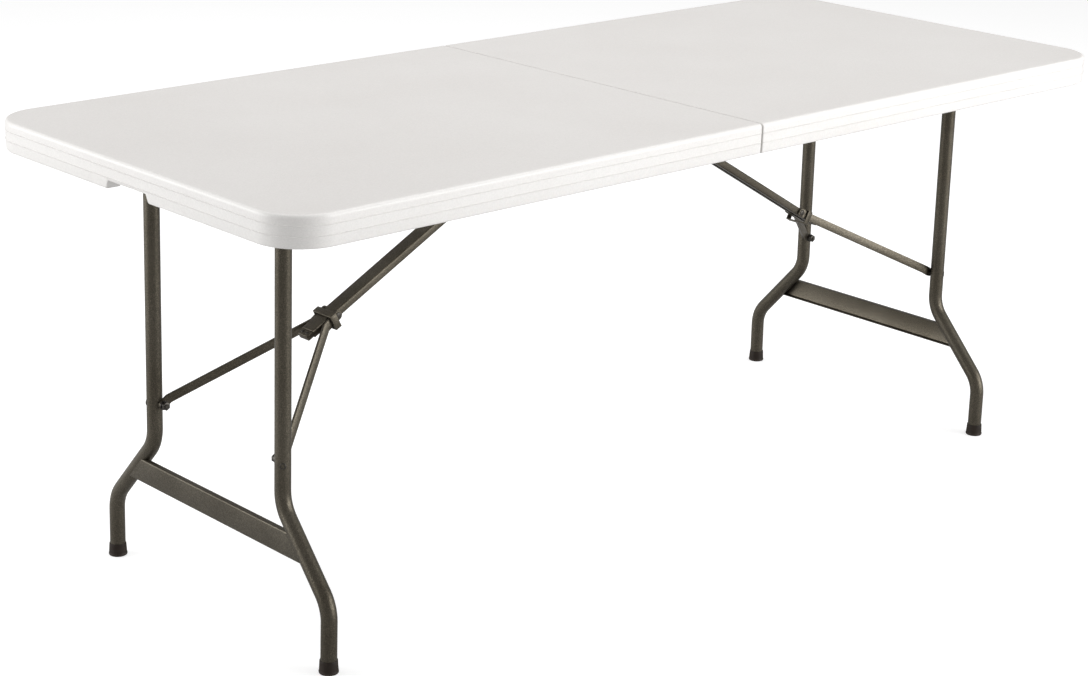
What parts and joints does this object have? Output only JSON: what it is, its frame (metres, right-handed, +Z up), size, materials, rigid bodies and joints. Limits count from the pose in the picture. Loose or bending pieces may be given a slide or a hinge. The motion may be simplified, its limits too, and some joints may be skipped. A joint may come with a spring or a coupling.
{
  "type": "folding table",
  "caption": "Folding table: hollow moulded top hinged across its middle, two folding wishbone leg frames, braces locked by sliding rings, and a carry handle.",
  "frame": {"origin": "on the floor under the middle of the top", "axes": "+X along the length towards the handle end, +Y across the width, +Z up"},
  "size_m": [1.829, 0.762, 0.73],
  "materials": {
    "moulded_top": "fine pebbled off-white polyethylene with a smoother ribbed rim",
    "coated_steel": "satin grey-brown hammered powder coat",
    "fastener_steel": "dull dark-plated steel",
    "foot_plastic": "matt dark brown soft plastic",
    "handle_plastic": "matt dark grey-brown plastic"
  },
  "bodies": {
    "left_half": {"left_panel": "moulded_top", "left_rear_rail": "coated_steel", "left_rear_hinge_leaf": "coated_steel", "left_front_rail": "coated_steel", "left_front_hinge_leaf": "coated_steel", "left_rear_seam_screw": "fastener_steel", "left_front_seam_screw": "fastener_steel", "left_rear_leg_screw": "fastener_steel", "left_front_leg_screw": "fastener_steel", "left_brace_bracket": "coated_steel", "left_brace_pin": "fastener_steel", "front_hinge_pin": "fastener_steel", "rear_hinge_pin": "fastener_steel"},
    "right_half": {"right_panel": "moulded_top", "right_front_rail": "coated_steel", "right_front_hinge_leaf": "coated_steel", "right_rear_rail": "coated_steel", "right_rear_hinge_leaf": "coated_steel", "right_front_seam_screw": "fastener_steel", "right_rear_seam_screw": "fastener_steel", "right_front_leg_screw": "fastener_steel", "right_rear_leg_screw": "fastener_steel", "right_brace_bracket": "coated_steel", "right_brace_pin": "fastener_steel", "front_handle_clip": "handle_plastic", "rear_handle_clip": "handle_plastic"},
    "left_leg": {"left_leg_crossbar": "coated_steel", "left_leg_stretcher": "coated_steel", "left_rear_leg_tube": "coated_steel", "left_rear_leg_bolt": "fastener_steel", "left_front_leg_tube": "coated_steel", "left_front_leg_bolt": "fastener_steel", "left_rear_foot_cap": "foot_plastic", "left_front_foot_cap": "foot_plastic"},
    "right_leg": {"right_leg_crossbar": "coated_steel", "right_leg_stretcher": "coated_steel", "right_front_leg_tube": "coated_steel", "right_front_leg_bolt": "fastener_steel", "right_rear_leg_tube": "coated_steel", "right_rear_leg_bolt": "fastener_steel", "right_front_foot_cap": "foot_plastic", "right_rear_foot_cap": "foot_plastic"},
    "left_upper_brace": {"left_upper_brace": "coated_steel", "left_brace_block": "coated_steel"},
    "right_upper_brace": {"right_upper_brace": "coated_steel", "right_brace_block": "coated_steel"},
    "left_lower_brace": {"left_joint_pin": "fastener_steel", "left_rear_brace_arm": "coated_steel", "left_rear_arm_nut": "fastener_steel", "left_front_brace_arm": "coated_steel", "left_front_arm_nut": "fastener_steel"},
    "right_lower_brace": {"right_joint_pin": "fastener_steel", "right_front_brace_arm": "coated_steel", "right_front_arm_nut": "fastener_steel", "right_rear_brace_arm": "coated_steel", "right_rear_arm_nut": "fastener_steel"},
    "left_lock_ring": {"left_lock_ring": "coated_steel"},
    "right_lock_ring": {"right_lock_ring": "coated_steel"},
    "carry_handle": {"carry_handle": "handle_plastic"}
  },
  "joints": [
    {"name": "centre_fold", "type": "hinge", "parent": "left_half", "child": "right_half", "pos_m": [0, 0, 0.682], "axis": [0, 1, 0], "range_deg": [0, 90]},
    {"name": "left_leg_fold", "type": "hinge", "parent": "left_half", "child": "left_leg", "pos_m": [-0.762, 0, 0.6965], "axis": [0, -1, 0], "range_deg": [0, 90.9]},
    {"name": "left_upper_brace_swing", "type": "hinge", "parent": "left_half", "child": "left_upper_brace", "pos_m": [-0.045, 0, 0.702], "axis": [0, 1, 0], "range_deg": [0, 27.72]},
    {"name": "left_lower_brace_swing", "type": "hinge", "parent": "left_upper_brace", "child": "left_lower_brace", "pos_m": [-0.54998, 0, 0.43679], "axis": [0, -1, 0], "range_deg": [0, 173.64]},
    {"name": "left_ring_slide", "type": "slide", "parent": "left_upper_brace", "child": "left_lock_ring", "axis": [0.8853, 0, 0.465], "range_m": [0, 0.1205]},
    {"name": "right_leg_fold", "type": "hinge", "parent": "right_half", "child": "right_leg", "pos_m": [0.762, 0, 0.6965], "axis": [0, 1, 0], "range_deg": [0, 90.9]},
    {"name": "right_upper_brace_swing", "type": "hinge", "parent": "right_half", "child": "right_upper_brace", "pos_m": [0.045, 0, 0.702], "axis": [0, -1, 0], "range_deg": [0, 30.03]},
    {"name": "right_lower_brace_swing", "type": "hinge", "parent": "right_upper_brace", "child": "right_lower_brace", "pos_m": [0.53839, 0, 0.41692], "axis": [0, 1, 0], "range_deg": [0, 181.07]},
    {"name": "right_ring_slide", "type": "slide", "parent": "right_upper_brace", "child": "right_lock_ring", "axis": [-0.8659, 0, 0.5003], "range_m": [0, 0.1205]},
    {"name": "handle_swing", "type": "hinge", "parent": "right_half", "child": "carry_handle", "pos_m": [0.8725, 0, 0.6905], "axis": [0, -1, 0], "range_deg": [0, 180]}
  ],
  "couplings": [
    {"joint": "left_upper_brace_swing", "follows": "left_leg_fold", "ratio": 0.30381},
    {"joint": "left_lower_brace_swing", "follows": "left_leg_fold", "ratio": 1.9092},
    {"joint": "left_ring_slide", "follows": "left_leg_fold", "m_per_rad": 0.075638},
    {"joint": "right_upper_brace_swing", "follows": "right_leg_fold", "ratio": 0.32923},
    {"joint": "right_lower_brace_swing", "follows": "right_leg_fold", "ratio": 1.9909},
    {"joint": "right_ring_slide", "follows": "right_leg_fold", "m_per_rad": 0.075638}
  ]
}
